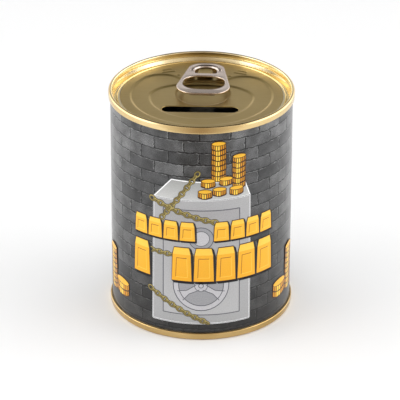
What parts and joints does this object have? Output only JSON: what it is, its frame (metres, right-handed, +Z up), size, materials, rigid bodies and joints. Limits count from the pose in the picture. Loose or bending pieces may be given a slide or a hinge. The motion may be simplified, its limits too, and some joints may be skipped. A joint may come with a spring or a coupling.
{
  "type": "coin bank can",
  "caption": "Round tin can money bank with seamed gold ends, a printed paper label, and a ring-pull lid with a coin slot.",
  "frame": {"origin": "centre of the base, where the bottom seam rests", "axes": "+Z up along the can's axis, -Y towards the front of the label, +X to the right of it"},
  "size_m": [0.075, 0.075, 0.095],
  "materials": {
    "gold_tinplate": "glossy gold lacquer",
    "bare_tinplate": "satin tin",
    "tab_steel": "bright tin",
    "printed_label": "coated printed paper",
    "sealing_compound": "matt",
    "clear_lacquer": "gloss",
    "label_glue": "gloss"
  },
  "bodies": {
    "can": {"can_body": "bare_tinplate", "side_seam_lacquer_inside": "clear_lacquer", "side_seam_lacquer_outside": "clear_lacquer", "bottom_end": "gold_tinplate", "bottom_seam_compound": "sealing_compound", "top_end_ring": "gold_tinplate", "top_seam_compound": "sealing_compound", "label_wrap": "printed_label", "label_lap_glue": "label_glue", "label_pickup_glue": "label_glue"},
    "panel": {"tear_panel": "gold_tinplate", "tab_tongue": "tab_steel"},
    "tab": {"pull_tab": "tab_steel"}
  },
  "joints": [
    {"name": "panel_peel", "type": "hinge", "parent": "can", "child": "panel", "pos_m": [-0.00171, -0.0327, 0.0917], "axis": [0.9986, -0.0523, 0], "range_deg": [0, 80]},
    {"name": "tab_lift", "type": "hinge", "parent": "panel", "child": "tab", "pos_m": [0.00236, 0.02761, 0.0927], "axis": [-0.9973, 0.0732, 0], "range_deg": [0, 90]}
  ]
}
